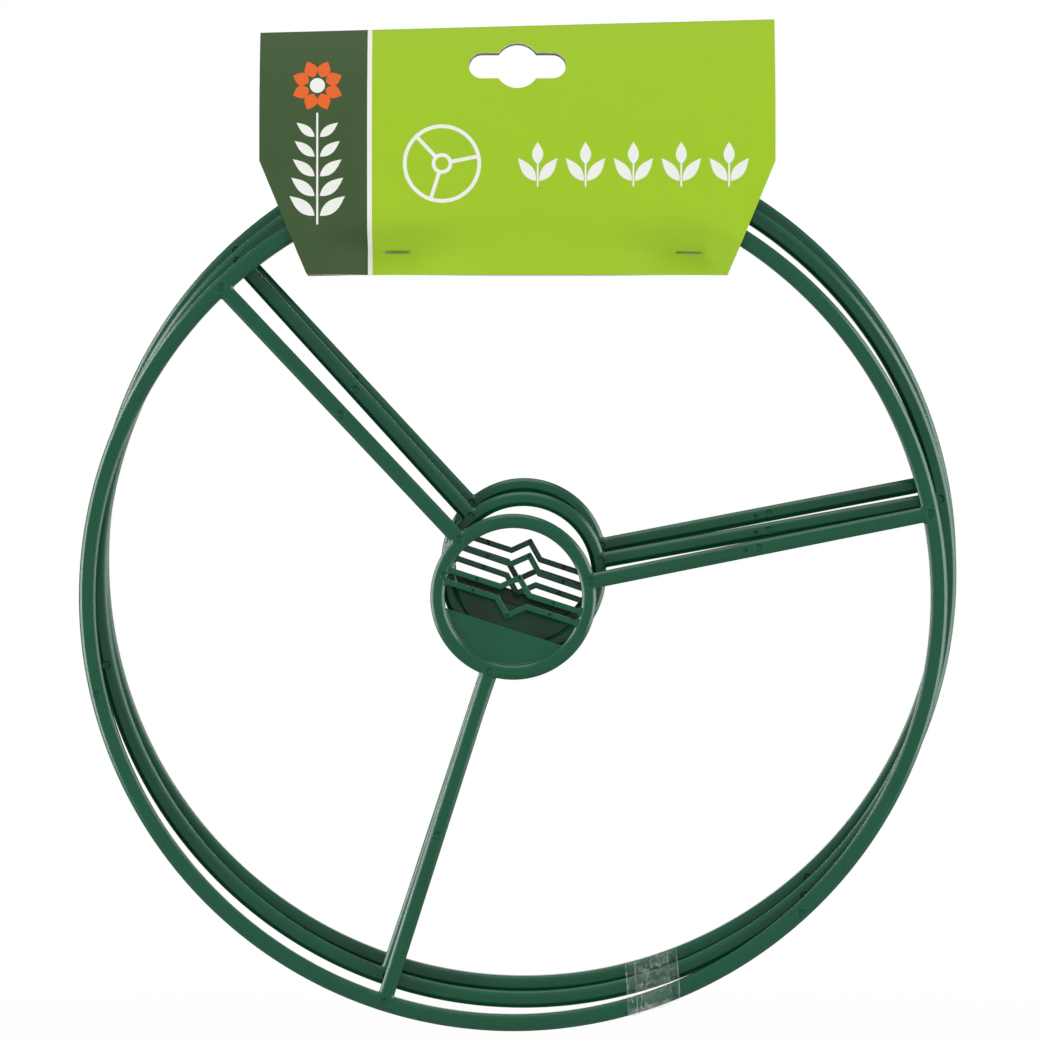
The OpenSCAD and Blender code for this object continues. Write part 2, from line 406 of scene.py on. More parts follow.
def cutAway(shape, cutter):
    # takes the cutter's shape out of a bmesh, and gives back a new one
    objects = []
    for name, part in (("whole", shape), ("cutter", cutter)):
        bmesh.ops.recalc_face_normals(part, faces=part.faces)
        mesh = bpy.data.meshes.new(name)
        part.to_mesh(mesh)
        part.free()
        objects.append(bpy.data.objects.new(name, mesh))
        scene.collection.objects.link(objects[-1])
    whole, knife = objects
    modifier = whole.modifiers.new("cut", "BOOLEAN")
    modifier.operation = "DIFFERENCE"
    modifier.solver = "EXACT"
    modifier.object = knife
    result = bmesh.new()
    result.from_object(whole, bpy.context.evaluated_depsgraph_get())
    for thing in objects:
        mesh = thing.data
        bpy.data.objects.remove(thing)
        bpy.data.meshes.remove(mesh)
    return result


def thicken(sheet, thickness, backMaterial):
    # closed board from a sheet's middle surface; its back and edges take one material
    sheet.normal_update()
    sheet.verts.index_update()
    shape = bmesh.new()
    skins = [[shape.verts.new(v.co + v.normal * way * thickness / 2 * mm) for v in sheet.verts]
             for way in (1, -1)]
    for face in sheet.faces:
        ids = [v.index for v in face.verts]
        shape.faces.new([skins[0][i] for i in ids]).material_index = face.material_index
        shape.faces.new([skins[1][i] for i in reversed(ids)]).material_index = backMaterial
    for edge in sheet.edges:
        if edge.is_boundary:
            a, b = (v.index for v in edge.verts)
            rim = shape.faces.new((skins[0][a], skins[0][b], skins[1][b], skins[1][a]))
            rim.material_index = backMaterial
    sheet.free()
    return shape


def joinRows(shape, rows):
    # bands of faces between closed rows of points
    for low, high in zip(rows, rows[1:]):
        for i in range(len(low)):
            j = (i + 1) % len(low)
            shape.faces.new((low[i], low[j], high[j], high[i]))


def arcPoints(x, y, radius, start, end, steps):
    # flat points along an arc, both ends included
    turns = [start + (end - start) * i / steps for i in range(steps + 1)]
    return [Vector((x + radius * cos(t), y + radius * sin(t))) for t in turns]


def smoothStep(t):
    t = min(max(t, 0.0), 1.0)
    return t * t * (3 - 2 * t)


# support rings: each one moulding of hoop, three spokes and hub, with rounded shoulders all round

ring = {
    "hoopWidth": 5.8,
    "spokeWidth": 5.4,
    "hubWall": 5.0,
    "spread": 119,  # degrees, from the lower spoke to each of the other two
    "turns": {"front": -17.7, "middle": -18.75, "back": -18.15},  # degrees, from a lower spoke straight down
    "shoulder": (  # arcs from the side to the face: radius, tilt from and to, steps
        (0.5, 90, 38, 4),
        (6.5, 38, 37.5, 1),
        (6.5, 37.5, 28.5, 4),
        (6.5, 28.5, 28, 1),
        (1.5, 28, 0, 6),
    ),
    "flatMargin": 0.12,  # narrow level strip that keeps the flat faces flat
    "rootFillet": 0.7,
    "filletSteps": 5,
    "hoopSteps": 240,
    "hubSteps": 96,
    "spokeSteps": 14,
    "merge": 1e-6,  # mm, for points of the flat faces
}
ringNames = ("front", "middle", "back")
origin = Vector((0, 0))


def ringTurn(name):
    return radians(ring["turns"][name])


def spokeAngles(name):
    # right, left and lower
    return [ringTurn(name) + radians(angle) for angle in (ring["spread"] - 90, 270 - ring["spread"], 270)]


def ringPlace(name):
    low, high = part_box(name + "_hoop")
    return (low + high) / 2 / mm


def ringSizes(name):
    low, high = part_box(name + "_hoop")
    hubLow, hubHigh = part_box(name + "_hub")
    return (high - low).x / 2 / mm, (hubHigh - hubLow).x / 2 / mm, (high - low).y / 2 / mm


def boreRadius(name):
    return ringSizes(name)[1] - ring["hubWall"]


def onRing(centre, flat, height):
    # a ring's own plane: right, up and towards the viewer
    return Vector((centre.x + flat[0], centre.y - height, centre.z + flat[1])) * mm


def arcRow(centre, radius, start, end, steps, side):
    row = []
    for i in range(steps):
        t = start + (end - start) * i / steps
        ray = Vector((cos(t), sin(t)))
        row.append((centre + ray * radius, ray * side))
    return row


def lineRow(start, end, normal, steps):
    return [(start.lerp(end, i / steps), normal) for i in range(steps)]


def turnBetween(start, end):
    # end angle, taken the short way from start
    return start + (end - start + pi) % (2 * pi) - pi


def heading(vector):
    return atan2(vector.y, vector.x)


def spokeSide(angle, side, hoopIn, hubOut):
    # one edge of a spoke with the middles of its two root fillets
    fillet = ring["rootFillet"]
    off = ring["spokeWidth"] / 2 + fillet
    along = Vector((cos(angle), sin(angle)))
    out = Vector((-sin(angle), cos(angle))) * side
    reaches = (hubOut + fillet, hoopIn - fillet)
    middles = [along * sqrt(reach ** 2 - off ** 2) + out * off for reach in reaches]
    feet = [middle - out * fillet for middle in middles]
    return middles, feet, out


def gapLoop(angle, nextAngle, hoopIn, hubOut):
    # edge of the gap between two spokes, with the way into the plastic at each point
    fillet, steps = ring["rootFillet"], ring["filletSteps"]
    (hubA, hoopA), (footA, topA), outA = spokeSide(angle, 1, hoopIn, hubOut)
    (hubB, hoopB), (footB, topB), outB = spokeSide(nextAngle, -1, hoopIn, hubOut)
    start, end = heading(hoopA), heading(hoopB)
    hoopSteps = round(ring["hoopSteps"] * ((end - start) % (2 * pi)) / (2 * pi))
    hubSteps = round(ring["hubSteps"] / 3)
    loop = lineRow(footA, topA, -outA, ring["spokeSteps"])
    loop += arcRow(hoopA, fillet, heading(-outA), turnBetween(heading(-outA), start), steps, 1)
    loop += arcRow(origin, hoopIn, start, start + (end - start) % (2 * pi), hoopSteps, 1)
    loop += arcRow(hoopB, fillet, end, turnBetween(end, heading(-outB)), steps, 1)
    loop += lineRow(topB, footB, -outB, ring["spokeSteps"])
    start, end = heading(hubB), heading(hubA)
    loop += arcRow(hubB, fillet, heading(-outB), turnBetween(heading(-outB), heading(-hubB)), steps, 1)
    loop += arcRow(origin, hubOut, start, start - (start - end) % (2 * pi), hubSteps, -1)
    loop += arcRow(hubA, fillet, heading(-hubA), turnBetween(heading(-hubA), heading(-outA)), steps, 1)
    return loop


def shoulderProfile(depth):
    # inset and height, from the back face round to the front face: a crowned bevel between two small arcs
    front = [(0.0, 0.0)]
    for radius, start, end, steps in ring["shoulder"]:
        inset, rise = front[-1]
        for i in range(1, steps + 1):
            tilt = radians(start + (end - start) * i / steps)
            front.append((inset + radius * (sin(radians(start)) - sin(tilt)),
                          rise + radius * (cos(tilt) - cos(radians(start)))))
    front.append((front[-1][0] + ring["flatMargin"], front[-1][1]))
    front = [(inset, depth - front[-1][1] + rise) for inset, rise in front]
    return [(inset, -height) for inset, height in reversed(front)] + front


def mouldRing(name):
    centre = ringPlace(name)
    outer, hubOut, depth = ringSizes(name)
    hoopIn, angles = outer - ring["hoopWidth"], spokeAngles(name)
    loops = [arcRow(origin, outer, 0, 2 * pi, ring["hoopSteps"], -1),
             arcRow(origin, boreRadius(name), 0, 2 * pi, ring["hubSteps"], 1)]
    loops += [gapLoop(angles[k - 1], angles[k], hoopIn, hubOut) for k in (1, 2, 0)]
    profile = shoulderProfile(depth)
    shape = bmesh.new()
    flats, faces, fronts, backs = [], [], [], []
    for loop in loops:
        rows = [[shape.verts.new(onRing(centre, point + into * inset, height)) for point, into in loop]
                for inset, height in profile]
        joinRows(shape, rows)
        faces.append(list(range(len(flats), len(flats) + len(loop))))
        flats += [point + into * profile[-1][0] for point, into in loop]
        backs += rows[0]
        fronts += rows[-1]
    mesh = delaunay_2d_cdt(flats, [], faces, 1, ring["merge"])
    for corners, inFaces in zip(mesh[2], mesh[5]):  # its triangles, and the loops that each lies in
        if inFaces == [0]:  # inside the hoop's edge and in none of the gaps
            ids = [mesh[3][c][0] for c in corners]
            shape.faces.new([fronts[i] for i in ids])
            shape.faces.new([backs[i] for i in reversed(ids)])
    return cutAway(shape, pinMarks(name, centre, depth, outer, hubOut))


# round ejector pin marks, slightly sunk, on the front of each moulding

pins = {
    "diameter": 2.9,
    "depth": 0.4,
    "slope": 0.34,  # how much narrower a mark is at its floor
    "steps": 28,
    "hoopEnd": 3.3,  # in from the hoop's edge, at a spoke's end
    "midArc": 2.4,  # in from the hoop's edge, between two spokes
    "midSpoke": 86.5,  # from the ring's middle
    "gate": (81.8, 1.5),  # small mark on the right spoke: reach, diameter
    "hubRoot": 1.5,  # in from the hub's edge
    "clipRoot": (24.9, 180.5),  # on the hub beside the clip: reach, and degrees from the clip's line
}


def pinMarks(name, centre, depth, outer, hubOut):
    shape = bmesh.new()
    spots = []
    angles = spokeAngles(name)
    for angle in angles:
        spots += [(outer - pins["hoopEnd"], angle), (pins["midSpoke"], angle),
                  (hubOut - pins["hubRoot"], angle), (outer - pins["midArc"], angle + pi / 3)]
    reach, turn = pins["clipRoot"]
    spots.append((reach, ringTurn(name) + radians(turn)))
    for reach, angle in spots:
        sinkPin(shape, centre, Vector((cos(angle), sin(angle))) * reach, depth, pins["diameter"])
    reach, diameter = pins["gate"]
    sinkPin(shape, centre, Vector((cos(angles[0]), sin(angles[0]))) * reach, depth, diameter)
    return shape


def sinkPin(shape, centre, spot, depth, diameter):
    # a shallow tapered plug, to be cut away
    rows = []
    for way in (-1, 1):
        circle = arcRow(spot, diameter / 2 + way * pins["slope"], 0, 2 * pi, pins["steps"], 1)
        height = depth + way * pins["depth"]
        rows.append([shape.verts.new(onRing(centre, point, height)) for point, ray in circle])
    joinRows(shape, rows)
    shape.faces.new(rows[0][::-1])
    shape.faces.new(rows[1])


for name in ringNames:
    makePiece(name + "_moulding", mouldRing(name), [plasticGreen], "ring_stack",
              [name + "_" + part for part in ("hoop", "hub", "right_spoke", "left_spoke", "lower_spoke")])
print("rings moulded")


# web plate: thin D in the hub, with a rounded straight edge and a fillet up to the hub's wall

web = {
    "edge": 10.8,  # straight edge, from the hub's middle
    "thickness": 1.6,
    "edgeRound": 0.5,
    "wallFillet": 0.7,
    "root": 0.3,  # how far it runs into the wall
    "columns": 56,
    "rounding": 5,
    "weld": 1e-7,  # metres
}


def mouldWeb(name):
    centre, wall, turn = ringPlace(name), boreRadius(name), ringTurn(name)
    half, edgeRound, fillet = web["thickness"] / 2, web["edgeRound"], web["wallFillet"]
    quarter = [pi / 2 * k / web["rounding"] for k in range(web["rounding"] + 1)]
    widest = asin(web["edge"] / (wall + web["root"]))
    shape = bmesh.new()
    columns = []
    for i in range(web["columns"] + 1):
        t = -pi + widest + (pi - 2 * widest) * i / web["columns"]
        near = web["edge"] / -sin(t)  # reach to the straight edge along this ray
        far = max(wall, near)
        part = min((far - near) / (edgeRound + fillet), 1)  # both roundings shrink where the web is narrow
        rows = [(near + part * edgeRound * (1 - cos(a)), half - part * edgeRound * (1 - sin(a)))
                for a in quarter]
        rows += [(far - part * fillet * (1 - sin(a)), half + part * fillet * (1 - cos(a)))
                 for a in quarter]
        rows.append((wall + web["root"], rows[-1][1]))
        ray = Vector((cos(t + turn), sin(t + turn)))
        columns.append([[shape.verts.new(onRing(centre, ray * reach, side * height))
                         for reach, height in rows] for side in (1, -1)])
    for (frontA, backA), (frontB, backB) in zip(columns, columns[1:]):
        for k in range(len(frontA) - 1):
            shape.faces.new((frontA[k], frontA[k + 1], frontB[k + 1], frontB[k]))
            shape.faces.new((backA[k], backB[k], backB[k + 1], backA[k + 1]))
        shape.faces.new((frontA[0], frontB[0], backB[0], backA[0]))
        shape.faces.new((frontA[-1], backA[-1], backB[-1], frontB[-1]))
    bmesh.ops.remove_doubles(shape, verts=shape.verts, dist=web["weld"])
    bmesh.ops.dissolve_degenerate(shape, edges=shape.edges, dist=web["weld"])
    bmesh.ops.holes_fill(shape, edges=[e for e in shape.edges if e.is_boundary])
    return shape


for name in ringNames:
    makePiece(name + "_web", mouldWeb(name), [plasticGreen], "ring_stack", [name + "_web_plate"])
print("web plates moulded")


# zigzag spring bars of the stake clip: each half grows out of the hub's wall

bar = {
    "thickness": 2.0,
    "depth": 4.2,
    "pitch": 4.1,  # between the middles of the two bars
    "notchWidth": 10.5,
    "notchDepth": 4.8,
    "edgeRound": 0.45,
    "insideBend": 0.25,
    "outsideBend": 0.45,
    "rootFillet": 0.9,
    "root": 0.6,  # how far it runs into the hub's wall
    "bendSteps": 6,
    "edgeSteps": 5,
    "stations": 16,
    "crowding": 1.6,  # of the stations towards the wall
    "flankSteps": 4,
    "stiff": 2.0,  # beside the notch, moves as the notch does
    "markAt": 13.9,  # pin mark, from the notch's middle
    "mark": 1.4,
}


def roundCorner(before, corner, after, radius, steps):
    # arc that rounds a corner between two straight runs
    a, b = (before - corner).normalized(), (after - corner).normalized()
    opening = a.angle(b)
    reach = radius / tan(opening / 2)
    middle = corner + (a + b).normalized() * (radius / sin(opening / 2))
    start = heading(corner + a * reach - middle)
    end = turnBetween(start, heading(corner + b * reach - middle))
    return arcPoints(middle.x, middle.y, radius, start, end, steps)


def barEdge(side, wall, flank):
    # one edge of a half bar, from the hub's wall to the tip of its notch; side is 1 outside, -1 inside
    half = bar["thickness"] / 2
    level = bar["pitch"] / 2 + side * half
    shoulder = bar["notchWidth"] / 2 + side * half * tan(flank / 2)
    tip = bar["pitch"] / 2 + bar["notchDepth"] + side * half / cos(flank)
    corner, apex = Vector((-shoulder, level)), Vector((0, tip))
    bends = (bar["insideBend"], bar["outsideBend"])[::side]  # of the shoulder and of the tip
    steps, fillet = bar["bendSteps"], bar["rootFillet"]
    bend = roundCorner(Vector((-wall, level)), corner, apex, bends[0], steps)
    point = roundCorner(corner, apex, Vector((shoulder, level)), bends[1], 2 * steps)[:steps + 1]
    run = []
    for i in range(bar["stations"]):
        share = (i / bar["stations"]) ** bar["crowding"]
        reach = -bar["root"] + (wall + bend[0].x + bar["root"]) * share
        gone = min(max(fillet - reach, 0), fillet)
        flare = fillet - sqrt(fillet ** 2 - gone ** 2)
        run.append(Vector((-wall + reach, level + side * flare)))
    middle = [bend[-1].lerp(point[0], i / bar["flankSteps"]) for i in range(1, bar["flankSteps"])]
    return run + bend + middle + point


def barSection(width, depth):
    # closed rounded section: share across the bar from its inner edge, and height
    r, steps = bar["edgeRound"], bar["edgeSteps"]
    section = []
    for cx, cz, start in ((width - r, depth - r, 0), (r, depth - r, pi / 2), (r, r - depth, pi),
                          (width - r, r - depth, 3 * pi / 2)):
        for i in range(steps + 1):
            t = start + pi / 2 * i / steps
            section.append(((cx + r * cos(t)) / width, cz + r * sin(t)))
    return section


def mouldHalfBar(centre, wall, turn, mirror):
    flank = atan2(bar["notchDepth"], bar["notchWidth"] / 2)
    inner, outer = barEdge(-1, wall, flank), barEdge(1, wall, flank)
    section = barSection(bar["thickness"], bar["depth"] / 2)
    across, up = Vector((cos(turn), sin(turn))) * mirror, Vector((-sin(turn), cos(turn)))
    shape = bmesh.new()
    rows = []
    for a, b in zip(inner, outer):
        row = []
        for share, height in section:
            point = a.lerp(b, share)
            row.append(shape.verts.new(onRing(centre, across * point.x + up * point.y, height)))
        rows.append(row)
    joinRows(shape, rows)
    shape.faces.new(rows[0][::-1])
    shape.faces.new(rows[-1])
    marks = bmesh.new()
    for spot in (across * -bar["markAt"], up * bar["notchDepth"]):
        sinkPin(marks, centre, spot + up * bar["pitch"] / 2, bar["depth"] / 2, bar["mark"])
    return cutAway(shape, marks)


for name in ringNames:
    centre, wall = ringPlace(name), boreRadius(name)
    for level, turn in (("upper", ringTurn(name)), ("lower", ringTurn(name) + pi)):
        for half, mirror in (("a", 1), ("b", -1)):
            piece = makePiece(f"{name}_{level}_bar_{half}", mouldHalfBar(centre, wall, turn, mirror),
                              [plasticGreen], None, [f"{name}_{level}_clip_bar"])
            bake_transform(piece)
print("spring bars moulded")


# header card: one printed sheet, folded over the hoops and pinched below them by the staples

cardLow, cardHigh = (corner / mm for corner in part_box("header_card"))
card = {
    "width": cardHigh.x - cardLow.x,
    "foot": cardLow.z,
    "footWidth": 145.6,
    "shoulder": -33.0,
    "fold": 14.0,
    "slant": 1.5,  # degrees, rising to the right
    "board": 0.5,
    "foldRadius": 0.45,
    "foldRows": (0.03, 0.1, 0.2, 0.33, 0.5, 0.9, 1.7),  # rows of points, below the fold
    "bulge": 8.45,  # half the room between the panels at the hoops
    "bulgeDrop": 36.0,  # from the fold to where the panels hang straight
    "hoopRadius": 135.4,  # inner limit of the room that the hoops need
    "pinchRadius": 126.4,
    "footSlack": 0.42,  # how far the panels close towards the foot by themselves
    "pinched": 0.27,  # half the gap that is left under a staple
    "pinchWide": 17.0,
    "pinchHigh": 4.6,
    "pinchFlat": 1.2,  # above a staple, still pressed flat
    "pinchCore": 0.97,  # share of pinch from which the hoops' room no longer counts
    "softRun": 0.8,  # over which one rule for the gap blends into another
    "slot": (33.6, 9.0, 15.8),  # length, height of the wings, round middle
    "slotSteps": (14, 16),  # round a wing's end and round the middle
    "grid": 3.6,
    "foldZone": 1.9,  # below the fold, where the outline is cut finer
    "foldFine": 10,
    "foldDrop": 0.2,  # a run that drops less than this stays whole
    "footMargin": 0.5,  # without grid points, above the foot
    "merge": 1e-5,  # mm, for points of a panel
    "weld": 1e-6,  # metres, where the panels meet in the fold
    "staples": (-41.5, 59.2),
    "stapleWidth": 8.4,
}
stapleLow, stapleHigh = (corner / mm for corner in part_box("staples"))
stapleLevel = (stapleLow.z + stapleHigh.z) / 2
middleRing = ringPlace("middle")


def foldLevel(x):
    return card["fold"] + x * tan(radians(card["slant"]))


def softMax(a, b, blend):
    near = max(blend - abs(a - b), 0) / blend
    return max(a, b) + near * near * blend / 4


def halfGap(x, z):
    # how far each panel stands from the card's middle plane
    drop = max((foldLevel(x) - z) * cos(radians(card["slant"])), 0)
    radius = card["foldRadius"]
    nip = sqrt(max(radius ** 2 - (radius - min(drop, radius)) ** 2, 0))
    ease = 1 - min(drop / card["bulgeDrop"], 1)
    swell = nip + (card["bulge"] - radius) * (1 - ease * ease)
    reach = hypot(x - middleRing.x, z - middleRing.z)
    lowest = card["foot"] - middleRing.z
    slack = 1 - card["footSlack"] * smoothStep((card["hoopRadius"] - reach) / (card["hoopRadius"] - lowest))
    pinch = 0
    for place in card["staples"]:
        beside = max(abs(x - place) - card["stapleWidth"] / 2, 0) / card["pinchWide"]
        above = max(z - stapleLevel - card["pinchFlat"], 0) / card["pinchHigh"]
        pinch = max(pinch, exp(-beside * beside - above * above))
    free = swell * slack * (1 - pinch) + card["pinched"] * pinch
    run = (reach - card["pinchRadius"]) / (card["hoopRadius"] - card["pinchRadius"])
    need = min(card["pinched"] + (card["bulge"] - card["pinched"]) * min(max(run, 0), 1), swell)
    roomy = drop > 2 * radius and pinch < card["pinchCore"]
    return softMax(free, need, card["softRun"]) if roomy else free


def circleLoop(x, z, radius, steps):
    return arcPoints(x, z, radius, 0, 2 * pi, steps)[:-1]


def closeSet(loop, step):
    # the same outline with points no further apart than step, and closer where it goes over the fold
    points = []
    for a, b in zip(loop, loop[1:] + loop[:1]):
        parts = max(round((b - a).length / step), 1)
        run = [a.lerp(b, i / parts) for i in range(parts + 1)]
        for p, q in zip(run, run[1:]):
            drops = [foldLevel(end.x) - end.y for end in (p, q)]
            bent = min(drops) < card["foldZone"] and abs(drops[0] - drops[1]) > card["foldDrop"]
            fine = card["foldFine"] if bent else 1
            points += [p.lerp(q, i / fine) for i in range(fine)]
    return points


def cardOutline():
    half, foot = card["width"] / 2, card["footWidth"] / 2
    return [Vector(p) for p in ((-half, foldLevel(-half)), (-half, card["shoulder"]), (-foot, card["foot"]),
                                (foot, card["foot"]), (half, card["shoulder"]), (half, foldLevel(half)))]


def slotLoop():
    length, height, hole = card["slot"]
    wing = (length - height) / 2
    joint = asin(height / hole)  # where the round middle meets a wing
    wingSteps, holeSteps = card["slotSteps"]
    loop = []
    for side, turn in ((1, 0), (-1, pi)):
        loop += arcPoints(side * wing, 0, height / 2, turn - pi / 2, turn + pi / 2, wingSteps)
        loop += arcPoints(0, 0, hole / 2, turn + joint, turn + pi - joint, holeSteps)
    return loop


# print on the card: a dark column with a sprig and a blossom, and pictograms of a ring and leaves
prints = {
    "column": -51.8,  # right edge of the dark column
    "rule": 1.6,
    "bleed": 20.0,  # of the column past the card's edges
    "sprig": {
        "x": -69.0, "foot": -55.0, "height": 48.0, "stem": 0.7, "pairs": 5,
        "leaf": (11.0, 4.2),  # length, width
        "tilt": 52,
        "taper": 0.35,  # how much smaller the leaves get towards the top
        "firstLeaf": 3.0, "leafOff": 0.9,  # above the foot, and beside the stem's middle
        "leafless": 14.0,  # of the height; the rest is shared out among the leaves
        "neck": 0.9,  # between the stem and the blossom
    },
    "blossom": {
        "petals": 8, "turn": 22.5, "length": 8.6, "width": 4.6, "eye": 2.6, "petalOff": 0.5, "steps": 24,
    },
    "ringSign": {"x": -26.0, "z": -34.0, "radius": 13.5, "line": 1.3, "hub": 3.6, "steps": 56},
    "leafRow": {
        "x": 7.0, "z": -42.0, "step": 16.5, "count": 5,
        "leaf": (12.5, 4.8),  # length, width
        "stem": (0.6, 0.7),  # width, and share of a leaf's length
        "sideLeaf": 0.8,  # share of a leaf's size
        "sideRoot": (0.6, 2.0),  # beside the stem's middle, and above its foot
        "tilt": 38,
        "topLeaf": 0.62,  # share of a leaf's length
    },
}


def leafLoop(root, angle, length, width, steps=10, belly=0.85):
    # pointed leaf between two arcs, widest a little nearer its root
    along, side = Vector((cos(angle), sin(angle))), Vector((-sin(angle), cos(angle)))
    loop = []
    for way in (-1, 1):
        for i in range(steps):
            t = i / steps if way < 0 else 1 - i / steps
            loop.append(root + along * length * t + side * (way * width / 2 * sin(pi * t ** belly)))
    return loop


def barLoop(start, end, width):
    side = (end - start).normalized()
    side = Vector((-side.y, side.x)) * width / 2
    return [start + side, start - side, end - side, end + side]


def columnPrints():
    edge, far, rule = prints["column"], -card["width"], prints["rule"]
    up, down = card["fold"] + prints["bleed"], card["foot"] - prints["bleed"]
    middle = edge + rule / 2
    return [("leaf_green_ink", [Vector(p) for p in ((far, up), (far, down), (edge, down), (edge, up))]),
            ("white_ink", barLoop(Vector((middle, down)), Vector((middle, up)), rule))]


def sprigPrints():
    sprig, flower = prints["sprig"], prints["blossom"]
    foot = Vector((sprig["x"], sprig["foot"]))
    top = foot + Vector((0, sprig["height"]))
    neck = top - Vector((0, flower["length"] + sprig["neck"]))
    shapes = [("white_ink", barLoop(foot, neck, sprig["stem"]))]
    length, width = sprig["leaf"]
    for k in range(sprig["pairs"]):
        share = k / sprig["pairs"]
        rise = sprig["firstLeaf"] + (sprig["height"] - sprig["leafless"]) * share
        size = 1 - sprig["taper"] * share
        for side in (-1, 1):
            root = Vector((sprig["x"] + side * sprig["leafOff"], sprig["foot"] + rise))
            angle = pi / 2 - side * radians(sprig["tilt"])
            shapes.append(("white_ink", leafLoop(root, angle, length * size, width * size)))
    petal = (flower["length"] - flower["eye"], flower["width"])
    for k in range(flower["petals"]):
        angle = 2 * pi * k / flower["petals"] + radians(flower["turn"])
        root = top + Vector((cos(angle), sin(angle))) * (flower["eye"] + flower["petalOff"])
        shapes.append(("orange_ink", leafLoop(root, angle, *petal)))
    shapes.append(("white_ink", circleLoop(top.x, top.y, flower["eye"], flower["steps"])))
    return shapes


def ringSign(x, z, radius, steps):
    # white line round a lime disc
    line = prints["ringSign"]["line"]
    return [("white_ink", circleLoop(x, z, radius, steps)),
            ("lime_ink", circleLoop(x, z, radius - line, steps))]


def signPrints():
    sign, row = prints["ringSign"], prints["leafRow"]
    middle = Vector((sign["x"], sign["z"]))
    shapes = ringSign(middle.x, middle.y, sign["radius"], sign["steps"])
    for angle in spokeAngles("front"):
        ray = Vector((cos(angle), sin(angle)))
        ends = [middle + ray * (radius - sign["line"] / 2) for radius in (sign["hub"], sign["radius"])]
        shapes.append(("white_ink", barLoop(*ends, sign["line"])))
    shapes += ringSign(middle.x, middle.y, sign["hub"], sign["steps"] // 2)
    (length, width), (stem, stemShare) = row["leaf"], row["stem"]
    off, rise = row["sideRoot"]
    small, top = row["sideLeaf"], length * row["topLeaf"]
    for k in range(row["count"]):
        foot = Vector((row["x"] + row["step"] * k, row["z"]))
        shapes.append(("white_ink", barLoop(foot, foot + Vector((0, length * stemShare)), stem)))
        for side in (-1, 1):
            angle = pi / 2 - side * radians(row["tilt"])
            shapes.append(("white_ink", leafLoop(foot + Vector((side * off, rise)), angle,
                                                 length * small, width * small)))
        shapes.append(("white_ink", leafLoop(foot + Vector((0, top)), pi / 2, top, width * small)))
    return shapes


def panelCells(shapes):
    # triangles of one panel, each with its ink, following the outline, the slot and the print
    outline = cardOutline()
    loops = [outline, slotLoop()] + [loop for ink, loop in shapes]
    points, faces = [], []
    for loop in loops:
        loop = closeSet(loop, card["grid"] / 2)
        faces.append(list(range(len(points), len(points) + len(loop))))
        points += loop
    half, step = card["width"] / 2, card["grid"]
    columns = round(card["width"] / step)
    edge = closeSet(outline[-1:] + outline[:1], step / 2)
    for point in edge[:len(edge) // 2 + 1]:
        for drop in card["foldRows"]:
            points.append(Vector((point.x, foldLevel(point.x) - drop)))
    for row in range(1, round((card["fold"] - card["foot"]) / step) + 1):
        for i in range(columns):
            x = -half + card["width"] * (i + 0.5 * (row % 2) + 0.25) / columns  # odd rows half a step on
            z = foldLevel(x) - step * row - card["foldRows"][-1] / 2
            if z > card["foot"] + card["footMargin"]:
                points.append(Vector((x, z)))
    mesh = delaunay_2d_cdt(points, [], faces, 1, card["merge"])
    names = ["lime_ink", None] + [ink for ink, loop in shapes]
    found = []
    for corners, inFaces in zip(mesh[2], mesh[5]):  # its triangles, and the loops that each lies in
        if 0 in inFaces and 1 not in inFaces:  # inside the outline and out of the slot
            found.append((corners, names[max(inFaces)]))
    return mesh[0], found


def foldCard():
    inkNames = list(inks)
    sheet = bmesh.new()
    for side, shapes in ((-1, columnPrints() + sprigPrints() + signPrints()), (1, columnPrints())):
        points, cells = panelCells(shapes)
        verts = [sheet.verts.new(Vector((p.x, side * halfGap(p.x, p.y), p.y)) * mm) for p in points]
        for corners, ink in cells:
            face = sheet.faces.new([verts[c] for c in corners][::-side])
            face.material_index = inkNames.index(ink)
        for vert in [v for v in verts if not v.link_faces]:
            sheet.verts.remove(vert)
    bmesh.ops.remove_doubles(sheet, verts=sheet.verts, dist=card["weld"])
    return thicken(sheet, card["board"], len(inkNames))


makePiece("folded_card", foldCard(), list(inks.values()) + [rawBoard], "card", ["header_card"],
          smoothAngle=50)
print("card folded")


# tape: clear film pulled tight round the three stepped hoops, twice at the front, its cut end crumpled

tape = {
    "turn": -72.7,  # degrees, from the middle ring's centre
    "width": 15.8,  # along the hoops
    "skew": 0.8,  # 0 lies square to the hoops, 1 upright
    "off": 0.16,  # from the plastic
    "thickness": 0.06,
    "secondLayer": 0.14,
    "secondRun": (-2.0, 2.0),  # over which the second layer lifts off, from the end of the first turn
    "start": 19.0,  # first end, up the front from the front hoop's outer shoulder
    "slip": (0.4, -2.8),  # of the first and the second layer along the hoops
    "slipRun": (1 / 3, 2 / 3),  # shares of the first turn between which it slips
    "tail": 3.2,  # crumpled end round the shoulder
    "tailRun": (-0.4, 0.8),  # over which the crumpling sets in
    "tailShows": 0.3,  # share of crumpling from which the film takes the second, whiter film of painted glints
    "hem": 1,  # columns at each cut edge that take the whiter film of painted glints
    "along": 40,
    "around": 150,
    "searchSteps": 2000,
    "faceMargin": 0.02,  # points of the outline that count as its front
    "look": 0.3,  # to both sides, for the way that the film faces
    "wrinkle": 0.16,
    "wrinkleBias": 0.6,  # outwards, so that the film stays off the plastic
    "wrinkleSize": (2.6, 5.5),  # along and around the hoops
    "wrinkleSeed": 3.7,
    "lift": 0.45,  # of the crumpled end
    "liftBias": 0.5,
    "liftSize": 2.7,  # times finer than the wrinkles
    "tooth": (1.1, 0.45),  # pitch and depth of its saw cut
}


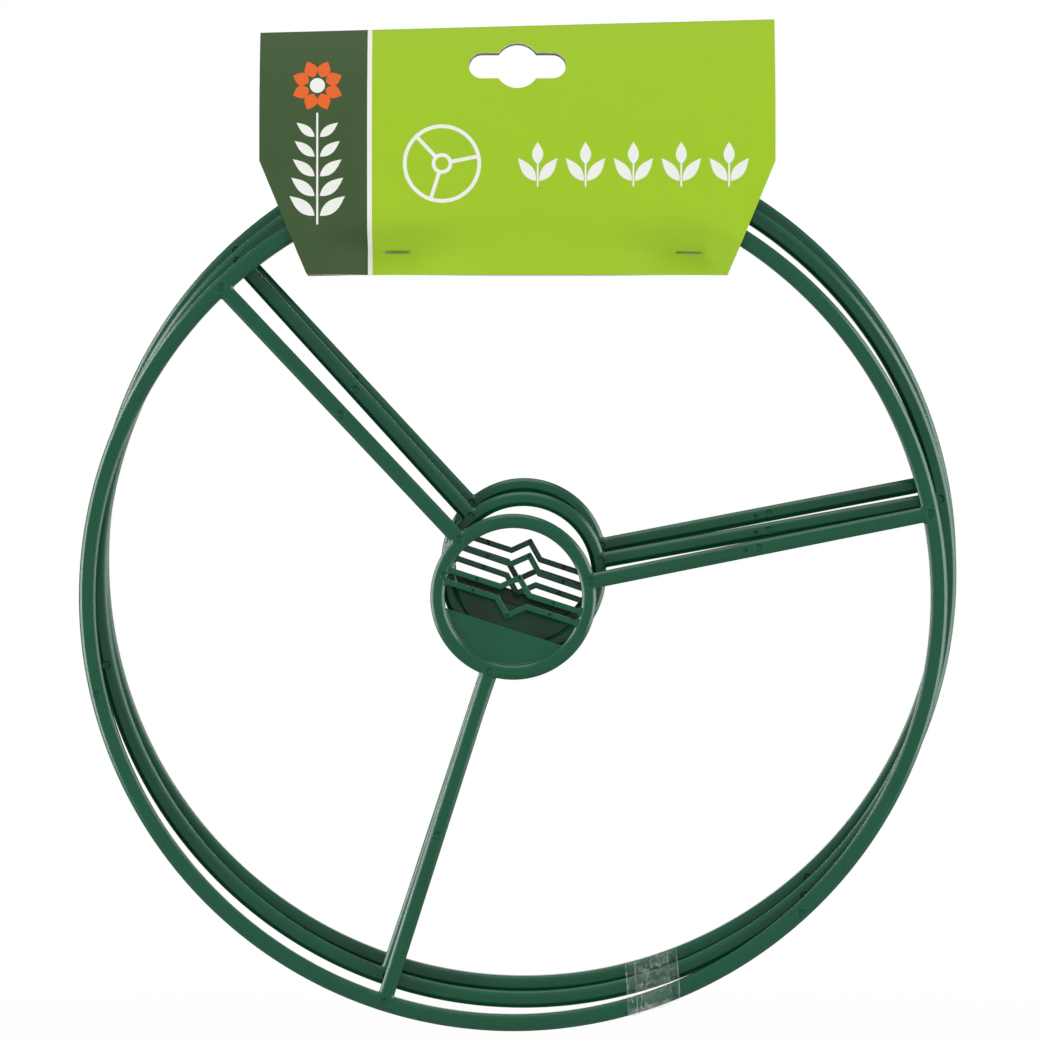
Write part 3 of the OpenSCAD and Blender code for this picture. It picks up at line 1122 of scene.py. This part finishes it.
def hullLoop(points):
    # convex outline round a set of flat points, anticlockwise
    points = sorted(points, key=lambda p: (p.x, p.y))
    loop = []
    for run in (points, points[::-1]):
        part = []
        for p in run:
            while len(part) > 1 and (part[-1] - part[-2]).cross(p - part[-2]) <= 0:
                part.pop()
            part.append(p)
        loop += part[:-1]
    return loop


def tapeSection(middle, ray):
    # outline round the three hoops' rounded sections: reach from the middle ring's centre, and height
    points = []
    for name in ringNames:
        centre = ringPlace(name)
        outer, hubOut, depth = ringSizes(name)
        reach = outer - ring["hoopWidth"] / 2 + (centre.x - middle.x) * ray.x + (centre.z - middle.z) * ray.y
        height = middle.y - centre.y
        for inset, level in shoulderProfile(depth):
            for side in (1, -1):
                points.append(Vector((reach + side * (ring["hoopWidth"] / 2 - inset + tape["off"]),
                                      height + level + (tape["off"] if level > 0 else -tape["off"]))))
    return hullLoop(points)


def alongLoop(loop):
    # place at a distance round a closed outline, and its length
    lengths = [(b - a).length for a, b in zip(loop, loop[1:] + loop[:1])]
    total = sum(lengths)

    def at(distance):
        distance %= total
        for a, b, length in zip(loop, loop[1:] + loop[:1], lengths):
            if distance <= length:
                return a.lerp(b, distance / length)
            distance -= length
        return loop[0]
    return at, total


def sawEdge(beside):
    # depth of the saw cut at the film's end
    pitch, depth = tape["tooth"]
    return abs((beside / pitch) % 1 - 0.5) * 2 * depth


def between(value, run):
    # 0 before a run and 1 after it
    return smoothStep((value - run[0]) / (run[1] - run[0]))


def filmRise(beside, gone, total):
    # how far the film stands out, and how crumpled it is, at a place on the strip
    along, around = tape["wrinkleSize"]
    seed = Vector((beside / along, gone / around, tape["wrinkleSeed"]))
    rise = max((noise.noise(seed) + tape["wrinkleBias"]) * tape["wrinkle"], 0)
    rise += between(gone - total, tape["secondRun"]) * tape["secondLayer"]
    crumpled = between(gone - total - tape["start"], tape["tailRun"])
    rise += crumpled * (noise.noise(seed * tape["liftSize"]) + tape["liftBias"]) * tape["lift"]
    return rise, crumpled


def wrapTape():
    middle, turn = ringPlace("middle"), radians(tape["turn"])
    section = tapeSection(middle, Vector((cos(turn), sin(turn))))
    at, total = alongLoop(section)
    farthest, top = max(p.x for p in section), max(p.y for p in section)
    core = Vector(((min(p.x for p in section) + farthest) / 2, 0))
    edge = max((p for p in section if p.y > top - tape["faceMargin"]), key=lambda p: p.x)
    step = total / tape["searchSteps"]
    places = [step * k for k in range(tape["searchSteps"])]
    start = tape["start"] + next(place for place in places if (at(place) - edge).length < step)
    first, second = tape["slip"]
    sheet = bmesh.new()
    rows = []
    for i in range(tape["along"] + 1):
        beside = (i / tape["along"] - 0.5) * tape["width"]
        length = total + tape["start"] + tape["tail"] - sawEdge(beside)
        row = []
        for k in range(tape["around"] + 1):
            gone = length * k / tape["around"]
            here = at(start - gone)
            run = at(start - gone - tape["look"]) - at(start - gone + tape["look"])
            out = Vector((-run.y, run.x)).normalized()
            if out.dot(here - core) < 0:
                out = -out
            rise, crumpled = filmRise(beside, gone, total)
            spot = here + out * rise
            slid = beside + first + (second - first) * between(gone / total, tape["slipRun"])
            level = farthest * cos(turn + slid / farthest)
            angle = -acos(level / (farthest + (spot.x - farthest) * tape["skew"]))
            flat = Vector((cos(angle), sin(angle))) * spot.x
            row.append((sheet.verts.new(onRing(middle, flat, spot.y)), crumpled > tape["tailShows"]))
        rows.append(row)
    for i, (low, high) in enumerate(zip(rows, rows[1:])):
        hem = i < tape["hem"] or i >= tape["along"] - tape["hem"]
        for k in range(tape["around"]):
            corners = (low[k], low[k + 1], high[k + 1], high[k])
            face = sheet.faces.new([vert for vert, creased_painted_glint in corners])
            # hems and the crumpled end take the second film, painted whiter as glints
            face.material_index = 1 if hem or corners[1][1] else 0
    return thicken(sheet, tape["thickness"], 0)


makePiece("wrapped_tape", wrapTape(), tapeFilms, "ring_stack", ["tape"], smoothAngle=60)
print("tape wrapped")


# staples keep their CAD shape
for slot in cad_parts["staples"].material_slots:
    slot.material = zincWire
